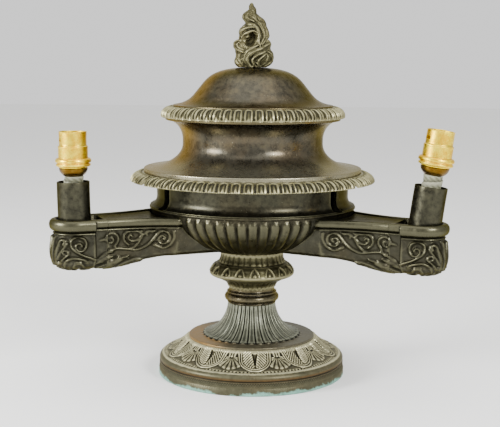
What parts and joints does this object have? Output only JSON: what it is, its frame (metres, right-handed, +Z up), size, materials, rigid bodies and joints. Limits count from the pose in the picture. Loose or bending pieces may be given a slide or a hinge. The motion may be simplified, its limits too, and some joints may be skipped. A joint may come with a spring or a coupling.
{
  "type": "colza lamp",
  "caption": "Bronze colza oil lamp: gadrooned reservoir and bowl on a fluted stem and round leaf-carved foot, flame finial, swept arms with open burner tubes and brass lampholders.",
  "frame": {"origin": "centre of the foot's underside, on the surface that the lamp stands on", "axes": "+Z up along the lamp's axis; -Y is the front, towards which both arms sweep; the arms reach out to -X and +X"},
  "size_m": [0.3807, 0.2474, 0.3763],
  "materials": {
    "patinated_bronze": "dark olive-brown patina on cast bronze, satin",
    "rubbed_bronze": "turned bronze with a brown patina, rubbed to a soft shine",
    "chased_bronze": "chased and carved bronze, pale on the ridges and dark in the recesses",
    "lacquered_brass": "worn yellow brass",
    "insulating_tape": "aged grey-green insulating tape, wound in a spiral"
  },
  "bodies": {
    "root": {"foot": "chased_bronze", "fluted_stem": "chased_bronze", "stem_bead": "rubbed_bronze", "leaf_knop": "chased_bronze", "bowl": "patinated_bronze", "neck": "patinated_bronze", "lower_gadroon_collar": "chased_bronze", "reservoir": "rubbed_bronze", "upper_gadroon_ring": "chased_bronze", "dome_lid": "rubbed_bronze", "flame_finial": "chased_bronze", "left_arm": "patinated_bronze", "left_arm_cover": "patinated_bronze", "left_nozzle_end": "patinated_bronze", "left_burner_tube": "patinated_bronze", "left_tape_wrap": "insulating_tape", "left_lampholder_cap": "lacquered_brass", "left_lampholder": "lacquered_brass", "left_shade_ring": "lacquered_brass", "right_arm": "patinated_bronze", "right_arm_cover": "patinated_bronze", "right_nozzle_end": "patinated_bronze", "right_burner_tube": "patinated_bronze", "right_tape_wrap": "insulating_tape", "right_lampholder_cap": "lacquered_brass", "right_lampholder": "lacquered_brass", "right_shade_ring": "lacquered_brass"}
  },
  "joints": []
}
